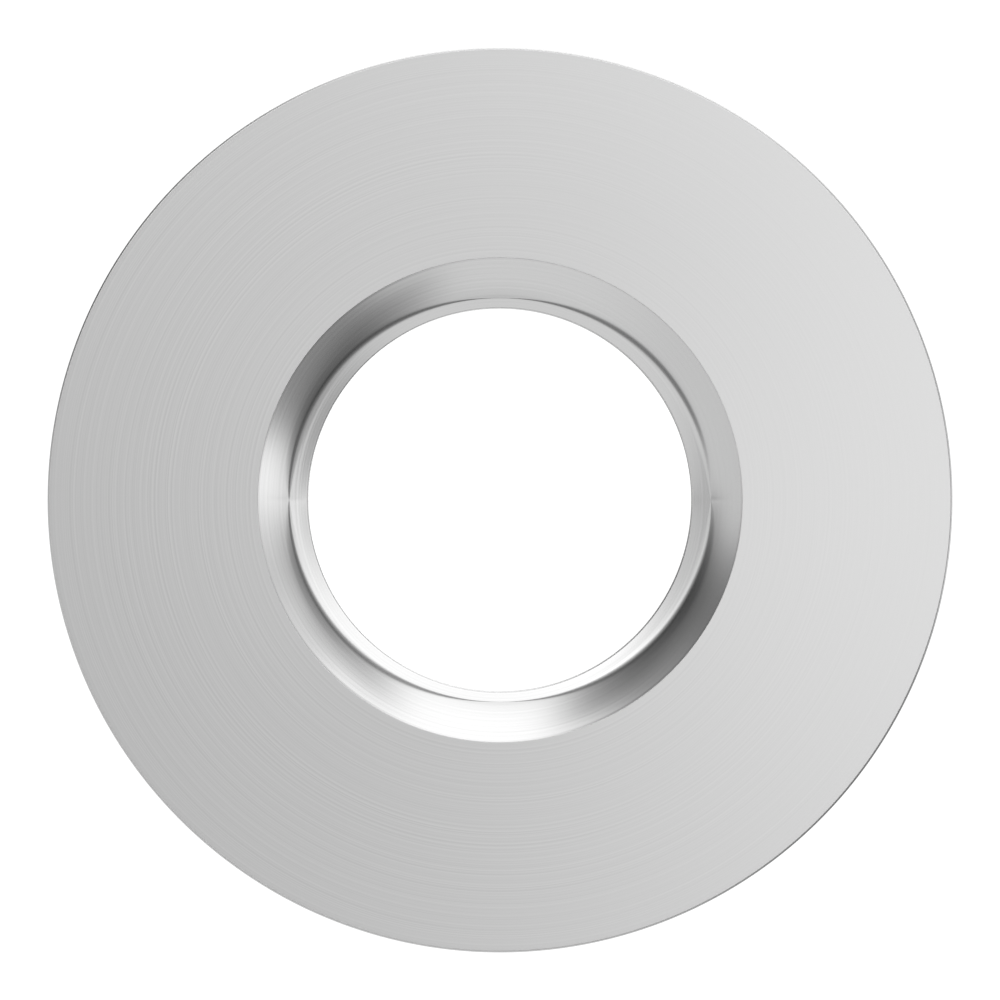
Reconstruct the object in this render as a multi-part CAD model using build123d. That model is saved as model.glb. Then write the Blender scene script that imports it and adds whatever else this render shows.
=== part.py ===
"""Steel wall plate for a round wall thermostat, with the ring and fixings that carry it.

A turned stainless cover with a dished, slightly oval thermostat recess pulls straight off a
moulded mounting ring.  Magnets in the mounting ring hold the cover, and two welded studs in
plastic bushes keep the oval recess upright.  The mounting ring is held by four screws in wall
plugs, and its slots are arcs, so that the plate can be turned level before they are tightened.

Every piece is modelled on the bench: the wall plane is Z = 0, the face looks up along +Z and +Y
is the top of the plate.  It is turned upright when it is written, so that in the part's own
frame +Z is up, the face looks along -Y and the origin is on the wall at the plate's centre.
"""

from build123d import *
from math import pi
import os

# ---------------------------------------------------------------- driving dimensions, mm and degrees
FACE_DIAMETER = 162.5
MOUTH_DIAMETER = 87.0  # recess mouth: an 84 mm round thermostat with 1.5 mm all round
SEAT_WIDTH = 76.2  # the oval crease between flank and lip, side to side
SEAT_HEIGHT = 72.8  # and top to bottom
OPENING_DIAMETER = 69.2  # the clear opening for the cables and the thermostat's back
PLATE_HEIGHT = 9.0  # wall plane to face
SEAT_DEPTH = 4.4  # face to crease
LIP_DROP = 0.4  # the lip falls this much from the crease to the opening
SHEET = 1.2  # steel left all round after turning

FIXING_RADIUS = 62.75  # the circle of the screws, magnets and studs
SCREW_ANGLES = (45, 135, 225, 315)
MAGNET_ANGLES = tuple(22.5 + 45 * k for k in range(8))
STUD_ANGLES = (0, 180)
PAD_ANGLES = (0, 90, 180, 270)
LEVELLING_TURN = 5  # the plate turns this far either way about its screws

# ---------------------------------------------------------------- cover
FACE_RADIUS = FACE_DIAMETER / 2
MOUTH_RADIUS = MOUTH_DIAMETER / 2
OPENING_RADIUS = OPENING_DIAMETER / 2
SEAT = PLATE_HEIGHT - SEAT_DEPTH
LIP_END = SEAT - LIP_DROP
FLANK_SHIFT = 0.7  # outward shift that leaves the flank a full sheet thick
SKIRT_END = 0.8  # the skirt and the collar stop just short of the wall
RIM_ROUND = 0.4
MOUTH_ROUND = 0.25
SEAT_ROUND = 4.0
LIP_ROUND = 0.35
NOTCH_WIDTH = 12.0  # notch for a screwdriver, at the bottom of the skirt
NOTCH_HEIGHT = 1.6

# ---------------------------------------------------------------- mounting ring
RING_OUTER = 79.0
RING_INNER = 46.5
RING_WALL = 2.0
SEAL = 1.0
WEB = 2.2
WEB_TOP = SEAL + WEB
WALL_TOP = 7.0
RIB_TOP = 6.2
RIB = 1.6
EDGE_ROUND = 0.4

# ---------------------------------------------------------------- magnets
MAGNET_RADIUS = 6.0
MAGNET_TOP = 7.5
MAGNET = 3.0
MAGNET_GAP = 0.1
MAGNET_BOSS = 8.0

# ---------------------------------------------------------------- screws, washers and wall plugs
SHANK_RADIUS = 1.95
SHANK_TIP = -21.0
THREAD_PITCH = 1.5
THREAD_DEPTH = 0.3
HEAD_RADIUS = 4.0
HEAD = 2.4
HEAD_ROUND = 0.9
CROSS = (4.2, 0.9, 1.5)  # length, width and depth of the cross recess
WASHER_BORE = 2.2
WASHER_RADIUS = 4.75
WASHER = 0.8
SLOT_RADIUS = 2.3
SLOT_HALF_ANGLE = LEVELLING_TURN + 0.6
SLOT_PAD = 4.0  # plastic left round a slot
PAD_TOP = 4.2
PLUG_RADIUS = 3.0
PLUG_LENGTH = 25.0
PLUG_PLAIN = 8.0
PLUG_PITCH = 3.0
PLUG_GROOVE = 0.45
PLUG_SPLIT = 14.0  # the split starts this far in
PLUG_SLIT = 0.8

# ---------------------------------------------------------------- studs, bushes, pads and seals
STUD_RADIUS = 2.0
STUD_END = 2.6
STUD_LEAD = 0.5
STUD_FLANGE = (3.6, 0.6)  # radius and height of the welded foot
BUSH_BORE = 2.06
BUSH_RADIUS = 3.5
BUSH_FLANGE = 4.8
BUSH_TOP = 6.4
BUSH_BOTTOM = 1.6
BUSH_FLANGE_HEIGHT = 0.8
BUSH_GAP = 0.02
BUSH_BOSS = 6.0
PAD_ARC = 24
PAD_HEIGHT = 0.7
SEAL_WIDTH = 5.0
SEAL_INSET = 1.0

UPRIGHT = Rotation(90, 0, 0)
FLOOR = (Align.CENTER, Align.CENTER, Align.MIN)


def disc(radius, low, high):
    """A solid cylinder about the local axis, from one height to another."""
    return Pos(0, 0, low) * Cylinder(radius, high - low, align=FLOOR)


def ring(inner, outer, low, high):
    """A plain ring about the local axis."""
    return disc(outer, low, high) - disc(inner, low - 1, high + 1)


def turned(*points):
    """A solid of revolution about the local axis from (radius, height) corners."""
    outline = Polyline(*[(r, 0, z) for r, z in points], close=True)
    return revolve(make_face(outline), Axis.Z)


def placed(angle, shape):
    """The shape moved out to the fixing circle and turned to its place on the plate."""
    return Rot(0, 0, angle) * Pos(FIXING_RADIUS, 0, 0) * shape


def round_edges(shape, height, radius):
    """The closed edges of a shape at one height whose length is that of a circle of the radius."""
    return [e for e in shape.edges() if e.is_closed and abs(e.center().Z - height) < 0.01
            and abs(e.length / (2 * pi) - radius) < 0.3]


def funnel(low, low_shape, high, high_shape):
    """A solid with straight flanks between an outline at one height and one at another."""
    return loft([(Pos(0, 0, low) * low_shape).face(), (Pos(0, 0, high) * high_shape).face()], ruled=True)


def arc_slot(radius, low, high):
    """A round-ended slot bent along the fixing circle and centred on +X."""
    path = CenterArc((0, 0), FIXING_RADIUS, -SLOT_HALF_ANGLE, 2 * SLOT_HALF_ANGLE)
    return Pos(0, 0, low) * extrude(SlotArc(path, 2 * radius), high - low)


def face_ring():
    """The turned cover: face, skirt, flank, oval crease, lip and the collar of the opening."""
    half_width = SEAT_WIDTH / 2
    half_height = SEAT_HEIGHT / 2
    under = SEAT - SHEET

    recess = funnel(SEAT, Ellipse(half_width, half_height), PLATE_HEIGHT, Circle(MOUTH_RADIUS))
    recess += funnel(LIP_END, Circle(OPENING_RADIUS), SEAT, Ellipse(half_width, half_height))
    dish = funnel(
        under,
        Ellipse(half_width + FLANK_SHIFT, half_height + FLANK_SHIFT),
        PLATE_HEIGHT,
        Circle(MOUTH_RADIUS + SHEET + FLANK_SHIFT),
    )
    dish += funnel(
        LIP_END - SHEET,
        Circle(OPENING_RADIUS + SHEET),
        under,
        Ellipse(half_width + FLANK_SHIFT, half_height + FLANK_SHIFT),
    )

    body = disc(FACE_RADIUS, SKIRT_END, PLATE_HEIGHT)
    body -= disc(FACE_RADIUS - SHEET, SKIRT_END, PLATE_HEIGHT - SHEET)
    body += dish
    body += disc(OPENING_RADIUS + SHEET, SKIRT_END, LIP_END)
    body -= recess
    body -= disc(OPENING_RADIUS, 0, PLATE_HEIGHT)

    body = fillet(round_edges(body, SEAT, (half_width + half_height) / 2), SEAT_ROUND)
    body = fillet(round_edges(body, LIP_END, OPENING_RADIUS), LIP_ROUND)
    body = fillet(round_edges(body, PLATE_HEIGHT, MOUTH_RADIUS), MOUTH_ROUND)
    body = fillet(round_edges(body, PLATE_HEIGHT, FACE_RADIUS), RIM_ROUND)
    notch = Box(NOTCH_WIDTH, 4 * SHEET, NOTCH_HEIGHT, align=FLOOR)
    return body - Pos(0, -FACE_RADIUS, SKIRT_END) * notch


def locating_stud():
    """A stud with a welded foot behind the face and a chamfered tip."""
    back = PLATE_HEIGHT - SHEET
    foot_radius, foot = STUD_FLANGE
    return turned(
        (0, back),
        (foot_radius, back),
        (foot_radius, back - foot),
        (STUD_RADIUS, back - foot),
        (STUD_RADIUS, STUD_END + STUD_LEAD),
        (STUD_RADIUS - STUD_LEAD, STUD_END),
        (0, STUD_END),
    )


def mounting_ring():
    """The moulded ring: web, two walls, ribs, screw pads, magnet bosses and stud bosses."""
    body = ring(RING_INNER, RING_OUTER, SEAL, WEB_TOP)
    body += ring(RING_INNER, RING_INNER + RING_WALL, SEAL, WALL_TOP)
    body += ring(RING_OUTER - RING_WALL, RING_OUTER, SEAL, WALL_TOP)
    rims = round_edges(body, WALL_TOP, RING_OUTER) + round_edges(body, WALL_TOP, RING_INNER)
    body = fillet(rims, EDGE_ROUND)

    rib_length = RING_OUTER - RING_INNER - RING_WALL
    rib_middle = (RING_OUTER + RING_INNER) / 2
    rib = Pos(rib_middle, 0, WEB_TOP) * Box(rib_length, RIB, RIB_TOP - WEB_TOP, align=FLOOR)
    for k in range(16):
        body += Rot(0, 0, 11.25 + 22.5 * k) * rib
    for angle in SCREW_ANGLES:
        body += Rot(0, 0, angle) * arc_slot(SLOT_RADIUS + SLOT_PAD, WEB_TOP, PAD_TOP)
        body -= Rot(0, 0, angle) * arc_slot(SLOT_RADIUS, 0, PLATE_HEIGHT)
    for angle in MAGNET_ANGLES:
        body += placed(angle, disc(MAGNET_BOSS, WEB_TOP, MAGNET_TOP))
        body -= placed(angle, disc(MAGNET_RADIUS + MAGNET_GAP, MAGNET_TOP - MAGNET, PLATE_HEIGHT))
    for angle in STUD_ANGLES:
        body += placed(angle, disc(BUSH_BOSS, WEB_TOP, BUSH_TOP - BUSH_FLANGE_HEIGHT))
        body -= placed(angle, disc(BUSH_RADIUS + BUSH_GAP, 0, PLATE_HEIGHT))
    return body


def magnet():
    """A plain disc magnet."""
    body = disc(MAGNET_RADIUS, MAGNET_TOP - MAGNET, MAGNET_TOP)
    return chamfer(body.edges().filter_by(GeomType.CIRCLE), 0.25)


def stud_bush():
    """A flanged bush for a locating stud."""
    under_flange = BUSH_TOP - BUSH_FLANGE_HEIGHT
    return turned(
        (BUSH_BORE, BUSH_BOTTOM),
        (BUSH_RADIUS, BUSH_BOTTOM),
        (BUSH_RADIUS, under_flange),
        (BUSH_FLANGE, under_flange),
        (BUSH_FLANGE, BUSH_TOP),
        (BUSH_BORE + STUD_LEAD, BUSH_TOP),
        (BUSH_BORE, BUSH_TOP - STUD_LEAD),
    )


def face_pad():
    """A strip on the rim of the mounting ring that keeps the cover from rattling."""
    inner = RING_OUTER - RING_WALL + EDGE_ROUND
    strip = ring(inner, RING_OUTER - EDGE_ROUND, WALL_TOP, WALL_TOP + PAD_HEIGHT)
    keep = Rot(0, 0, PAD_ARC / 2) * Box(FACE_RADIUS, FACE_RADIUS, PLATE_HEIGHT, align=Align.MIN)
    drop = Rot(0, 0, -PAD_ARC / 2) * Box(FACE_RADIUS, FACE_RADIUS, PLATE_HEIGHT, align=Align.MIN)
    return strip & (drop - keep)


def wall_seal(inner):
    """A flat foam ring between the mounting ring and the wall."""
    return ring(inner, inner + SEAL_WIDTH, 0, SEAL)


def wall_screw():
    """A pan head screw with a cross recess and a ringed thread."""
    under_head = PAD_TOP + WASHER
    top = under_head + HEAD
    core = SHANK_RADIUS - THREAD_DEPTH
    corners = [(0, SHANK_TIP), (0.4, SHANK_TIP), (core, SHANK_TIP + 3)]
    height = SHANK_TIP + 3
    while height + THREAD_PITCH < 0:
        corners.append((SHANK_RADIUS, height + THREAD_PITCH / 2))
        corners.append((core, height + THREAD_PITCH))
        height += THREAD_PITCH
    corners += [
        (SHANK_RADIUS, height + THREAD_DEPTH),
        (SHANK_RADIUS, under_head),
        (HEAD_RADIUS, under_head),
        (HEAD_RADIUS, top),
        (0, top),
    ]
    body = turned(*corners)
    body = fillet(round_edges(body, top, HEAD_RADIUS), HEAD_ROUND)
    length, width, depth = CROSS
    for angle in (0, 90):
        body -= Pos(0, 0, top - depth) * Rot(0, 0, angle) * Box(length, width, 2 * depth, align=FLOOR)
    return body


def screw_washer():
    """A flat washer that bridges the slot."""
    return ring(WASHER_BORE, WASHER_RADIUS, PAD_TOP, PAD_TOP + WASHER)


def wall_plug():
    """A plastic wall plug, plain at the mouth, grooved and split behind.

    It has no bore, so the screw overlaps it instead of spreading it.
    """
    corners = [(0, 0), (PLUG_RADIUS, 0), (PLUG_RADIUS, -PLUG_PLAIN)]
    height = -PLUG_PLAIN
    while height - PLUG_PITCH > -PLUG_LENGTH + 2:
        corners.append((PLUG_RADIUS - PLUG_GROOVE, height))
        corners.append((PLUG_RADIUS, height - PLUG_PITCH))
        height -= PLUG_PITCH
    corners += [(PLUG_RADIUS - PLUG_GROOVE, -PLUG_LENGTH), (0, -PLUG_LENGTH)]
    slit = Pos(0, 0, -PLUG_LENGTH) * Box(4 * PLUG_RADIUS, PLUG_SLIT, PLUG_LENGTH - PLUG_SPLIT, align=FLOOR)
    return turned(*corners) - slit


def write(node, shape):
    """Turn one piece upright and write it as its own file."""
    solids = shape.solids()
    if len(solids) != 1 or not shape.is_valid:
        raise ValueError(f"{node}: {len(solids)} solids, valid {shape.is_valid}")
    piece = UPRIGHT * solids[0]
    piece.label = node
    export_step(piece, f"parts/{node}.step")
    print(f"{node:20} {piece.volume:10.1f} mm3")


def main():
    """Write every piece of the plate."""
    os.makedirs("parts", exist_ok=True)
    write("face_ring", face_ring())
    write("mounting_ring", mounting_ring())
    write("wall_seal_outer", wall_seal(RING_OUTER - SEAL_INSET - SEAL_WIDTH))
    write("wall_seal_inner", wall_seal(RING_INNER + SEAL_INSET))
    for number, angle in enumerate(STUD_ANGLES, 1):
        write(f"locating_stud_{number}", placed(angle, locating_stud()))
        write(f"stud_bush_{number}", placed(angle, stud_bush()))
    for number, angle in enumerate(MAGNET_ANGLES, 1):
        write(f"magnet_{number}", placed(angle, magnet()))
    for number, angle in enumerate(PAD_ANGLES, 1):
        write(f"face_pad_{number}", Rot(0, 0, angle) * face_pad())
    for number, angle in enumerate(SCREW_ANGLES, 1):
        write(f"wall_screw_{number}", placed(angle, wall_screw()))
        write(f"screw_washer_{number}", placed(angle, screw_washer()))
        write(f"wall_plug_{number}", placed(angle, wall_plug()))


main()
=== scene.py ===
"""Looks of the steel wall plate for a round wall thermostat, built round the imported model."""

from math import atan2, cos, hypot, pi, radians, sin, sqrt, tan

import bpy
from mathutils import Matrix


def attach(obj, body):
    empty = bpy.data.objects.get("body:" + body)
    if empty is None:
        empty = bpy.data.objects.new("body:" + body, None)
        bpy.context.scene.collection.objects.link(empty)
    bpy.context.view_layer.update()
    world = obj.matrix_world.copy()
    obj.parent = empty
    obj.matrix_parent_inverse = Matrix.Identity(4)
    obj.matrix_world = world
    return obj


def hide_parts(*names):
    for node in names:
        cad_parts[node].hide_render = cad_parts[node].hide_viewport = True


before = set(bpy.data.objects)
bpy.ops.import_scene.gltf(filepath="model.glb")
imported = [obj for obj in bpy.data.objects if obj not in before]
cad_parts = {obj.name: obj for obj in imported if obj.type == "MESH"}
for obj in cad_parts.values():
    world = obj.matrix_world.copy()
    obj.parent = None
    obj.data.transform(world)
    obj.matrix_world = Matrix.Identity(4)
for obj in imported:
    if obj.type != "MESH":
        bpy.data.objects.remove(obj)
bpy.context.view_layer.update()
scene = bpy.context.scene
MM = 0.001

# ------------------------------------------------------------------ the cover's sizes, mm
FACE_RADIUS = 81.25
MOUTH_RADIUS = 43.5
SEAT_HALF_WIDTH = 38.0  # the oval crease between flank and lip
SEAT_HALF_HEIGHT = 36.4
OPENING_RADIUS = 34.6
FACE = 9.0  # heights are measured from the wall
SEAT = 4.6
LIP_END = 4.2
SHEET = 1.2
FLANK_SHIFT = 0.7
SKIRT_END = 0.8
NOTCH_HALF_WIDTH = 6.0
NOTCH_HEIGHT = 1.6
CREASE_FLANK = 2.5  # reach of the hollow crease up the flank, at the diagonals
CREASE_LIP = 0.75  # and along the lip
CREASE_LEAST = 0.04  # and what is left of both where the crease closes
FLANK_BEND = radians(5.0)  # the flank is turned very slightly hollow
LIP_BEND = radians(2.0)  # and the lip very slightly full, where the crease is open
CREASE_BITE = 0.75  # below 1, so that more of the hollow's turn lies beside the lip
DISH_STEPS = (14, 20, 8)  # points down the flank, across the hollow crease and along the lip
MOUTH_LAND = 0.15  # width at the mouth that is kept straight for its rounding
OPENING_LAND = 0.25  # and at the opening
RIM_ROUND = 0.4
MOUTH_ROUND = 0.2
COLLAR_ROUND = 0.2
SEAT_BACK_ROUND = 2.0
MOUTH_BACK_ROUND = 0.5
CUT_EDGE_ROUND = 0.12
COLUMNS = 720  # sections round the cover

# ------------------------------------------------------------------ the brushing
LINES = 2700.0  # brush lines across the plate, as noise cells to the metre
BREAKS = 700.0  # how quickly the lines' strength changes across the plate
BREAKS_ROUND = 1.3  # and round it
FACE_ROUGHNESS = 0.28
RECESS_ROUGHNESS = 0.19
FADE_ACROSS, FADE_UP = -0.94, -0.34  # the way in which the lines grow plainer: lower left
FAINTEST = 0.1  # what is left of the lines at the upper right
SKIRT_REACH = 0.6  # mm inside the rim that count as its upright wall
COLLAR_REACH = 0.1  # and mm outside the opening's wall
FINISH_REACH = 0.4  # mm inside the mouth over which the finer finish begins


# ------------------------------------------------------------------ node helpers
class Tree:
    """Adds nodes to a node tree and links whatever is not a plain value."""

    def __init__(self, tree):
        self.tree = tree

    def node(self, kind, inputs=None, **settings):
        """A node with its settings, and its inputs by name or number."""
        made = self.tree.nodes.new(kind)
        for name, value in settings.items():
            setattr(made, name, value)
        for key, value in (inputs or {}).items():
            self.put(made.inputs[key], value)
        return made

    def put(self, socket, value):
        """Link a socket, or set it."""
        if isinstance(value, bpy.types.NodeSocket):
            self.tree.links.new(value, socket)
        else:
            socket.default_value = value

    def math(self, operation, *values):
        """One Math node."""
        return self.node("ShaderNodeMath", dict(enumerate(values)), operation=operation).outputs[0]

    def step(self, value, low, high, to_low=0.0, to_high=1.0):
        """A smooth step of a value between two limits."""
        made = self.node("ShaderNodeMapRange", interpolation_type="SMOOTHSTEP")
        for socket, number in zip(made.inputs, (value, low, high, to_low, to_high)):
            self.put(socket, number)
        return made.outputs[0]

    def noise(self, vector=None, scale=5.0, detail=2.0, rough=0.5, dimensions="3D", w=None):
        """The value of a Noise Texture."""
        inputs = {"Scale": scale, "Detail": detail, "Roughness": rough}
        made = self.node("ShaderNodeTexNoise", inputs, noise_dimensions=dimensions)
        if vector is not None:
            self.put(made.inputs["Vector"], vector)
        if w is not None:
            self.put(made.inputs["W"], w)
        return made.outputs[0]

    def mix(self, factor, first, second):
        """A colour between two colours."""
        made = self.node("ShaderNodeMix", data_type="RGBA")
        self.put(made.inputs[0], factor)
        self.put(made.inputs[6], first)
        self.put(made.inputs[7], second)
        return made.outputs[2]


def grey(value):
    """A neutral colour."""
    return (value, value, value, 1.0)


def new_material(name):
    """A material with only a Principled shader and its output: (material, tree, shader)."""
    material = bpy.data.materials.new(name)
    material.use_nodes = True
    tree = Tree(material.node_tree)
    shader = material.node_tree.nodes["Principled BSDF"]
    return material, tree, shader


# ------------------------------------------------------------------ materials
def place(tree):
    """The position in the part's own frame, in metres."""
    return tree.node("ShaderNodeTexCoord").outputs["Object"]


def brushed_steel(name):
    """Stainless steel brushed in rings round the plate's axis, finer in the recess."""
    material, tree, shader = new_material(name)
    across, along, up = tree.node("ShaderNodeSeparateXYZ", {0: place(tree)}).outputs
    flat = tree.node("ShaderNodeCombineXYZ", {0: across, 2: up}).outputs[0]
    radius = tree.node("ShaderNodeVectorMath", {0: flat}, operation="LENGTH").outputs["Value"]
    heading = tree.node("ShaderNodeVectorMath", {0: flat}, operation="NORMALIZE").outputs[0]

    # The lines follow the radius, and the depth on the upright walls of the skirt and the collar.
    upright = tree.math("ADD", tree.math("GREATER_THAN", radius, (FACE_RADIUS - SKIRT_REACH) * MM),
                        tree.math("LESS_THAN", radius, (OPENING_RADIUS + COLLAR_REACH) * MM))
    reach = tree.math("MULTIPLY_ADD", along, upright, radius)
    along_reach = tree.math("MULTIPLY", reach, LINES)
    rings = tree.noise(scale=1.0, detail=4.0, rough=0.65, dimensions="1D", w=along_reach)

    # Each line comes and goes along its length, and all are fainter towards the upper right.
    drift = tree.node("ShaderNodeVectorMath", {0: heading, "Scale": BREAKS_ROUND}, operation="SCALE")
    breaks = tree.math("MULTIPLY", reach, BREAKS)
    fading = tree.noise(drift.outputs[0], scale=1.0, detail=2.0, rough=0.5, dimensions="4D", w=breaks)
    slant = tree.math("MULTIPLY_ADD", across, FADE_ACROSS, tree.math("MULTIPLY", up, FADE_UP))
    fainter = tree.step(slant, -0.09, 0.07, FAINTEST, 1.0)
    shown = tree.math("MULTIPLY", tree.step(fading, 0.35, 0.65, 0.4, 1.0), fainter)
    line = tree.math("MULTIPLY_ADD", tree.math("SUBTRACT", rings, 0.5), shown, 0.5)

    colour = tree.mix(tree.step(line, 0.35, 0.65), grey(0.625), grey(0.695))
    tree.put(shader.inputs["Base Color"], colour)
    start, edge = (MOUTH_RADIUS - FINISH_REACH) * MM, MOUTH_RADIUS * MM
    finish = tree.step(radius, start, edge, RECESS_ROUGHNESS, FACE_ROUGHNESS)
    tree.put(shader.inputs["Roughness"], tree.math("ADD", finish, tree.step(line, 0.3, 0.7, 0.0, 0.02)))
    shader.inputs["Metallic"].default_value = 1.0
    shader.inputs["Anisotropic"].default_value = 0.3
    tangent = tree.node("ShaderNodeTangent", direction_type="RADIAL", axis="Y").outputs[0]
    tree.put(shader.inputs["Tangent"], tangent)
    bump = tree.node("ShaderNodeBump", {"Height": line, "Distance": 0.00003, "Strength": 0.06})
    tree.put(shader.inputs["Normal"], bump.outputs[0])
    return material


def moulded(name, colour, rough, grain=2600.0, depth=0.00003, deeper=0.8):
    """A moulded plastic with a fine eroded texture and slight unevenness of tone and gloss."""
    material, tree, shader = new_material(name)
    where = place(tree)
    texture = tree.noise(where, grain, 3.0, 0.6)
    cloud = tree.noise(where, 45.0, 4.0, 0.55)
    dark = [channel * deeper for channel in colour] + [1.0]
    tree.put(shader.inputs["Base Color"], tree.mix(tree.step(cloud, 0.3, 0.7), dark, [*colour, 1.0]))
    uneven = tree.math("MULTIPLY_ADD", cloud, 0.6, tree.math("MULTIPLY", texture, 0.4))
    tree.put(shader.inputs["Roughness"], tree.step(uneven, 0.3, 0.7, rough - 0.07, rough + 0.09))
    bump = tree.node("ShaderNodeBump", {"Height": texture, "Distance": depth, "Strength": 0.5})
    tree.put(shader.inputs["Normal"], bump.outputs[0])
    return material


def foam(name, colour):
    """Closed-cell foam: small round cells, some open at the cut face, with painted shade in their pits."""
    material, tree, shader = new_material(name)
    where = place(tree)
    cells = tree.node("ShaderNodeTexVoronoi", {"Vector": where, "Scale": 2200.0}, feature="F1")
    open_cells = tree.step(cells.outputs["Distance"], 0.12, 0.5)
    cloud = tree.noise(where, 160.0, 3.0)
    # Painted shade: the base colour is darkened to 0.4 at each cell's centre as shade in its pit, and the
    # cloud varies the tone at random.
    pit_shade_and_tone = tree.math("MULTIPLY", open_cells, tree.step(cloud, 0.2, 0.8, 0.75, 1.0))
    dark = [channel * 0.4 for channel in colour] + [1.0]
    tree.put(shader.inputs["Base Color"], tree.mix(pit_shade_and_tone, dark, [*colour, 1.0]))
    shader.inputs["Roughness"].default_value = 0.95
    bump = tree.node("ShaderNodeBump", {"Height": open_cells, "Distance": 0.00012, "Strength": 0.8})
    tree.put(shader.inputs["Normal"], bump.outputs[0])
    return material


def plated(name, colour, rough, grain=700.0, wear=0.06):
    """A plated or turned bright metal with soft orange peel, handling marks and a little dulling."""
    material, tree, shader = new_material(name)
    where = place(tree)
    peel = tree.noise(where, grain, 2.0, 0.5)
    marks = tree.noise(where, 5200.0, 5.0, 0.75)
    cloud = tree.noise(where, 120.0, 4.0, 0.6)
    dull = [channel * (1 - 3 * wear) for channel in colour] + [1.0]
    tree.put(shader.inputs["Base Color"], tree.mix(tree.step(cloud, 0.35, 0.7), [*colour, 1.0], dull))
    uneven = tree.math("MULTIPLY", tree.math("ADD", marks, cloud), 0.5)
    tree.put(shader.inputs["Roughness"], tree.step(uneven, 0.3, 0.7, rough - wear, rough + 2 * wear))
    shader.inputs["Metallic"].default_value = 1.0
    bump = tree.node("ShaderNodeBump", {"Height": peel, "Distance": 0.00002, "Strength": 0.35})
    tree.put(shader.inputs["Normal"], bump.outputs[0])
    return material


def pale_floor(name):
    """A plain pale matt floor."""
    material, tree, shader = new_material(name)
    cloud = tree.noise(place(tree), 3.0, 4.0)
    tree.put(shader.inputs["Base Color"], tree.mix(cloud, grey(0.78), grey(0.82)))
    shader.inputs["Roughness"].default_value = 0.8
    return material


# ------------------------------------------------------------------ the cover
def rounded(corners):
    """The points of an open section: each corner is (radius, height, rounding, segments)."""
    points = []
    for k, (r, h, rounding, segments) in enumerate(corners):
        if not segments:
            points.append((r, h))
            continue
        r0, h0 = corners[k - 1][:2]
        r1, h1 = corners[(k + 1) % len(corners)][:2]
        back, ahead = hypot(r0 - r, h0 - h), hypot(r1 - r, h1 - h)
        u = ((r0 - r) / back, (h0 - h) / back)
        v = ((r1 - r) / ahead, (h1 - h) / ahead)
        half = 0.5 * abs(atan2(u[0] * v[1] - u[1] * v[0], u[0] * v[0] + u[1] * v[1]))
        reach = rounding / tan(half)
        centre = rounding / sin(half)
        middle = (u[0] + v[0], u[1] + v[1])
        size = hypot(*middle)
        cr, ch = r + middle[0] / size * centre, h + middle[1] / size * centre
        a0 = atan2(h + u[1] * reach - ch, r + u[0] * reach - cr)
        a1 = atan2(h + v[1] * reach - ch, r + v[0] * reach - cr)
        turn = (a1 - a0 + pi) % (2 * pi) - pi
        for step in range(segments + 1):
            a = a0 + turn * step / segments
            points.append((cr + rounding * cos(a), ch + rounding * sin(a)))
    return points


def smooth(value):
    """A smooth step from 0 to 1."""
    value = min(1.0, max(0.0, value))
    return value * value * (3 - 2 * value)


def crease_radius(angle):
    """The radius of the crease, an outline of two equal arcs that meet at the sides."""
    offset = (SEAT_HALF_WIDTH**2 - SEAT_HALF_HEIGHT**2) / (2 * SEAT_HALF_HEIGHT)
    arc = SEAT_HALF_HEIGHT + offset
    return sqrt(arc**2 - (offset * cos(angle)) ** 2) - offset * abs(sin(angle))


def crease_opening(angle):
    """How far the hollow crease is open: 1 on the diagonals, and closing sooner towards top and bottom."""
    to_top, to_side = 1.6, 0.7
    on_diagonal = 0.5 ** ((to_top + to_side) / 2)
    return abs(cos(angle)) ** to_top * abs(sin(angle)) ** to_side / on_diagonal


def dish(seat, opened):
    """The inside of the recess from mouth to opening, as (radius, height), by following its slope.

    The slope is that of the flank, then of the lip, and turns from one to the other across the
    hollow crease, whose width follows opened.
    """
    flank = atan2(FACE - SEAT, MOUTH_RADIUS - seat)
    lip = atan2(SEAT - LIP_END, seat - OPENING_RADIUS)
    outer = seat + CREASE_FLANK * opened + CREASE_LEAST
    inner = seat - CREASE_LIP * opened - CREASE_LEAST
    top, bottom = MOUTH_RADIUS - MOUTH_LAND, OPENING_RADIUS + OPENING_LAND
    parts = zip((top, outer, inner), (outer, inner, bottom), DISH_STEPS)
    radii = [top]
    for start, end, count in parts:
        radii += [start + (end - start) * k / count for k in range(1, count + 1)]

    def slope(r):
        up_flank = (r - seat) / (MOUTH_RADIUS - seat)
        up_lip = (r - OPENING_RADIUS) / (seat - OPENING_RADIUS)
        high = flank + FLANK_BEND * (2 * min(1.0, max(0.0, up_flank)) - 1)
        low = lip - LIP_BEND * opened * (2 * min(1.0, max(0.0, up_lip)) - 1)
        share = smooth(max(0.0, (r - inner) / (outer - inner)) ** CREASE_BITE)
        return tan(low + (high - low) * share)

    drops = [slope(0.5 * (a + b)) * (a - b) for a, b in zip(radii, radii[1:])]
    depth = FACE - LIP_END - MOUTH_LAND * tan(flank) - OPENING_LAND * tan(lip)
    scale = depth / sum(drops)
    height = FACE - MOUTH_LAND * tan(flank)
    points = [(radii[0], height)]
    for r, drop in zip(radii[1:], drops):
        height -= drop * scale
        points.append((r, height))
    return points


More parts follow.
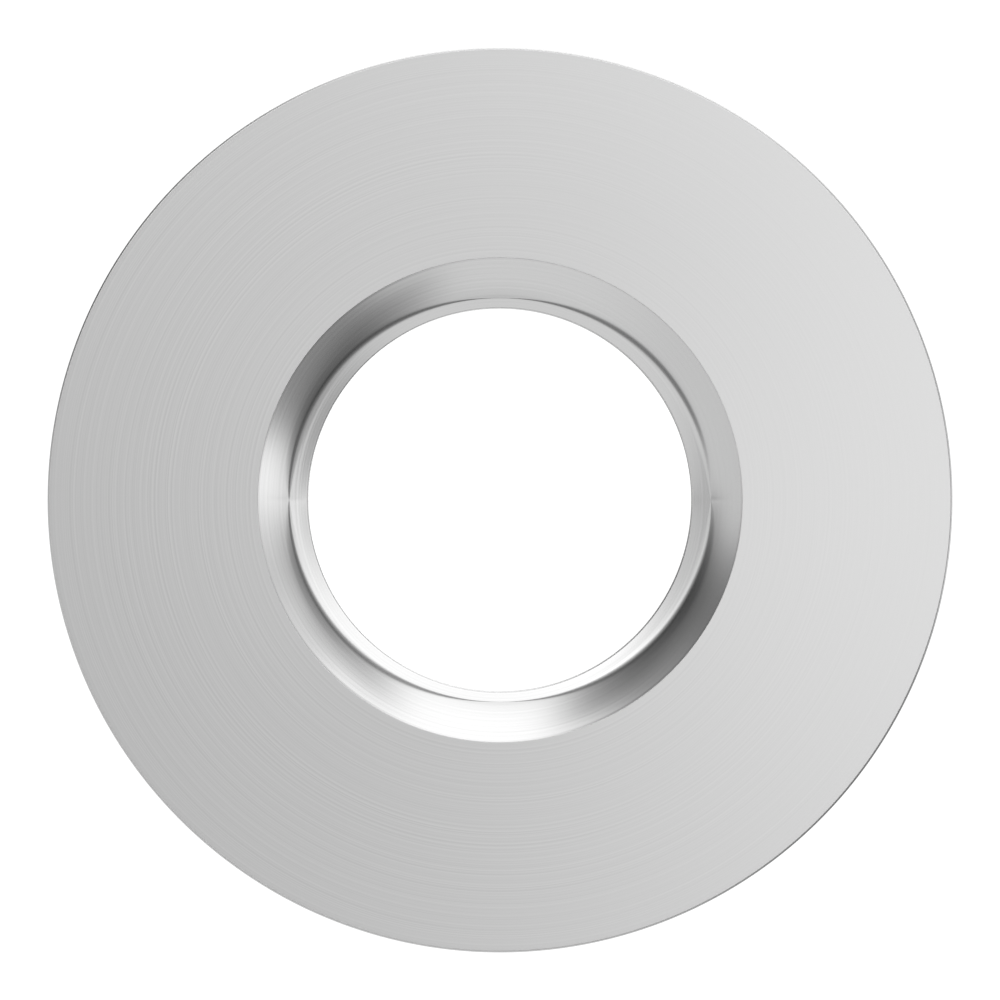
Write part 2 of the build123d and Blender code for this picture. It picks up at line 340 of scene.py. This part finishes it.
def cover_section(angle):
    """The closed section of the cover at one angle round the plate, as (radius, height) in mm."""
    seat = crease_radius(angle)
    under = SEAT - SHEET
    back = FACE - SHEET
    flank_foot = seat + FLANK_SHIFT
    flank_head = MOUTH_RADIUS + SHEET + FLANK_SHIFT
    flank_back = flank_foot + (flank_head - flank_foot) * (back - under) / (FACE - under)
    inside = dish(seat, crease_opening(angle))
    points = rounded([
        (FACE_RADIUS - SHEET, SKIRT_END, 0, 0),
        (FACE_RADIUS, SKIRT_END, CUT_EDGE_ROUND, 3),
        (FACE_RADIUS, FACE, RIM_ROUND, 8),
        (MOUTH_RADIUS, FACE, MOUTH_ROUND, 6),
        (*inside[0], 0, 0),
    ])[1:-1]
    points += inside
    points += rounded([
        (*inside[-1], 0, 0),
        (OPENING_RADIUS, LIP_END, COLLAR_ROUND, 8),
        (OPENING_RADIUS, SKIRT_END, CUT_EDGE_ROUND, 3),
        (OPENING_RADIUS + SHEET, SKIRT_END, CUT_EDGE_ROUND, 3),
        (OPENING_RADIUS + SHEET, LIP_END - SHEET, COLLAR_ROUND, 3),
        (flank_foot, under, SEAT_BACK_ROUND, 6),
        (flank_back, back, MOUTH_BACK_ROUND, 4),
        (FACE_RADIUS - SHEET, back, RIM_ROUND, 4),
        (FACE_RADIUS - SHEET, SKIRT_END, CUT_EDGE_ROUND, 3),
        (FACE_RADIUS, SKIRT_END, 0, 0),
    ])[1:-1]
    return points


def run_parts(points, longest=2.5, shortest=0.7):
    """How many parts each straight run of a section is divided into, 0 for a short one."""
    lengths = [hypot(r1 - r0, h1 - h0) for (r0, h0), (r1, h1) in zip(points, points[1:] + points[:1])]
    return [0 if length < shortest else max(2, round(length / longest)) for length in lengths]


def subdivided(points, plan, hold=0.06):
    """The section with its long runs divided, and a loop close to each end of them."""
    out = []
    for (r0, h0), (r1, h1), parts in zip(points, points[1:] + points[:1], plan):
        out.append((r0, h0))
        if not parts:
            continue
        near = hold / hypot(r1 - r0, h1 - h0)
        fractions = [near] + [j / parts for j in range(1, parts)] + [1 - near]
        out += [(r0 + (r1 - r0) * f, h0 + (h1 - h0) * f) for f in fractions]
    return out


def mesh_object(name, vertices, faces, material):
    """A smooth-shaded mesh object."""
    mesh = bpy.data.meshes.new(name)
    mesh.from_pydata(vertices, [], faces)
    mesh.validate()
    mesh.update()
    for polygon in mesh.polygons:
        polygon.use_smooth = True
    made = bpy.data.objects.new(name, mesh)
    scene.collection.objects.link(made)
    made.data.materials.append(material)
    return made


def cover(material):
    """The turned cover as one swept section, notched at the bottom of the skirt."""
    angles = [2 * pi * k / COLUMNS for k in range(COLUMNS)]
    edge = NOTCH_HALF_WIDTH / FACE_RADIUS
    notch_angles = [1.5 * pi - edge, 1.5 * pi + edge]
    spare, step = 0.002, 1e-5  # radians kept free beside a notch end, and to each side of it
    angles = [a for a in angles if all(abs(a - n) > spare for n in notch_angles)]
    for n in notch_angles:
        angles += [n - step, n + step]
    angles.sort()
    plan = run_parts(cover_section(0.25 * pi))
    vertices = []
    for a in angles:
        inside = notch_angles[0] < a < notch_angles[1]
        for r, h in subdivided(cover_section(a), plan):
            if inside and r > FACE_RADIUS - 2 * SHEET:
                h = max(h, SKIRT_END + NOTCH_HEIGHT)
            vertices.append((r * cos(a) * MM, -h * MM, r * sin(a) * MM))
    columns = len(angles)
    rows = len(vertices) // columns
    faces = []
    for i in range(columns):
        j = (i + 1) % columns
        for k in range(rows):
            m = (k + 1) % rows
            faces.append((i * rows + k, j * rows + k, j * rows + m, i * rows + m))
    return mesh_object("cover_plate", vertices, faces, material)


# ------------------------------------------------------------------ build
steel = brushed_steel("brushed_stainless")
plate = cover(steel)
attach(plate, "cover")
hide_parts("face_ring")

ZINC = (0.66, 0.68, 0.71)
finishes = {
    "mounting_ring": moulded("moulded_plastic", (0.035, 0.036, 0.038), 0.5),
    "wall_seal": foam("foam", (0.055, 0.055, 0.058)),
    "locating_stud": plated("stud_steel", (0.62, 0.61, 0.59), 0.24),
    "stud_bush": moulded("bush_nylon", (0.74, 0.72, 0.66), 0.38, 5200.0, 0.00001, 0.94),
    "magnet": plated("magnet_nickel", (0.68, 0.66, 0.61), 0.16, 420.0, 0.04),
    "face_pad": moulded("silicone", (0.24, 0.25, 0.26), 0.55, 4200.0, 0.00001, 0.9),
    "wall_screw": plated("screw_zinc", ZINC, 0.24),
    "screw_washer": plated("washer_zinc", ZINC, 0.3),
    "wall_plug": moulded("plug_nylon", (0.36, 0.37, 0.39), 0.45, 3600.0, 0.00002, 0.88),
}
for node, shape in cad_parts.items():
    for stem, material in finishes.items():
        if node.startswith(stem):
            shape.data.materials.clear()
            shape.data.materials.append(material)


# ------------------------------------------------------------------ world, floor, camera
BACKDROP = 1.1  # what the camera sees behind the plate: a little over white


def studio():
    """A white backdrop for the eye, and a soft studio of bright and dark zones for the metal."""
    world = bpy.data.worlds.new("studio")
    scene.world = world
    world.use_nodes = True
    world.node_tree.nodes.clear()
    tree = Tree(world.node_tree)
    way = tree.node("ShaderNodeTexCoord").outputs["Generated"]
    across, _, up = tree.node("ShaderNodeSeparateXYZ", {0: way}).outputs
    squares = tree.math("ADD", tree.math("MULTIPLY", across, across), tree.math("MULTIPLY", up, up))
    side = tree.math("SQRT", squares)

    def toward(heading, inner, outer):
        """1 within inner degrees of a heading seen from the front, and 0 beyond outer degrees."""
        x = tree.math("MULTIPLY", across, cos(radians(heading)))
        z = tree.math("MULTIPLY", up, sin(radians(heading)))
        near = tree.math("DIVIDE", tree.math("ADD", x, z), side)
        return tree.step(near, cos(radians(outer)), cos(radians(inner)))

    def add(level, strength, *windows):
        """The level, brighter inside all the windows."""
        for window in windows:
            strength = tree.math("MULTIPLY", strength, window)
        return tree.math("ADD", level, strength)

    def dim(level, depth, *windows):
        """The level, darker by a share inside all the windows."""
        for window in windows:
            depth = tree.math("MULTIPLY", depth, window)
        return tree.math("MULTIPLY", level, tree.math("SUBTRACT", 1.0, depth))

    # Rings by how far a direction leans from the plate's axis: what face, lip and flank reflect.
    middle = tree.step(side, 0.14, 0.22)
    lip = tree.math("MULTIPLY", middle, tree.step(side, 0.70, 0.50))
    brim = tree.math("MULTIPLY", lip, tree.step(side, 0.34, 0.46))
    flank = tree.step(side, 0.60, 0.72)
    near = tree.math("MULTIPLY", flank, tree.step(side, 0.99, 0.90))
    far = tree.step(side, 0.93, 0.985)
    ring = tree.math("MULTIPLY", tree.step(side, 0.48, 0.58), tree.step(side, 0.80, 0.72))

    # The face: brighter to the right, and a little to the top and bottom.
    level = tree.step(across, -0.10, 0.15, 0.0, 1.86)
    level = tree.math("ADD", level, tree.step(up, -0.2, 0.2, 0.06, 0.045))
    level = add(level, 0.26, tree.step(tree.math("ABSOLUTE", up), 0.0, 0.2))

    # The lip and the flank: an even tone with brighter and darker zones.
    level = tree.mix(middle, level, grey(0.92))
    level = add(level, 0.02, lip)
    level = add(level, 0.64, toward(80, 46, 72), middle)
    level = add(level, 0.5, toward(142, 16, 36), brim)
    level = add(level, 0.42, toward(0, 4, 22), flank)
    level = add(level, 0.06, toward(0, 5, 34), far)
    level = dim(level, 0.1, toward(190, 24, 60), flank)
    level = dim(level, 0.24, toward(166, 14, 38), lip)
    level = dim(level, 0.52, toward(340, 10, 32), lip)
    level = dim(level, 0.72, toward(142, 10, 34), flank)
    level = dim(level, 0.60, toward(322, 8, 28), flank)
    level = dim(level, 0.66, toward(142, 28, 44), near)
    level = dim(level, 0.52, toward(322, 24, 42), near)
    level = dim(level, 0.35, toward(24, 8, 28), flank)
    level = dim(level, 0.6, toward(34, 16, 36), near)

    # The hollow crease: a dark ring between the lip's reflections and the flank's.
    level = dim(level, 0.75, ring, tree.math("SUBTRACT", 1.0, toward(180, 6, 24)))
    unseen = tree.node("ShaderNodeBackground", {"Color": grey(1.0), "Strength": level})
    seen = tree.node("ShaderNodeBackground", {"Color": grey(1.0), "Strength": BACKDROP})
    path = tree.node("ShaderNodeLightPath").outputs["Is Camera Ray"]
    both = tree.node("ShaderNodeMixShader", {0: path, 1: unseen.outputs[0], 2: seen.outputs[0]})
    tree.node("ShaderNodeOutputWorld", {"Surface": both.outputs[0]})


def floor():
    """A plain pale floor below the plate."""
    count, reach, level = 96, 4.5, -0.6
    angles = [2 * pi * k / count for k in range(count)]
    vertices = [(reach * cos(a), reach * sin(a), level) for a in angles]
    made = mesh_object("floor", vertices, [tuple(range(count))], pale_floor("floor"))
    made.visible_glossy = False


def camera():
    """A long lens square to the plate."""
    distance = 1.0
    view_width = 0.1795  # at the face
    film = 36.0
    lens = bpy.data.cameras.new("camera")
    lens.sensor_width = film
    lens.lens = film * distance / view_width
    made = bpy.data.objects.new("camera", lens)
    made.location = (0.0, -distance - FACE * MM, 0.0)
    made.rotation_euler = (radians(90), 0, 0)
    scene.collection.objects.link(made)
    scene.camera = made


studio()
floor()
camera()
scene.view_settings.view_transform = "Standard"
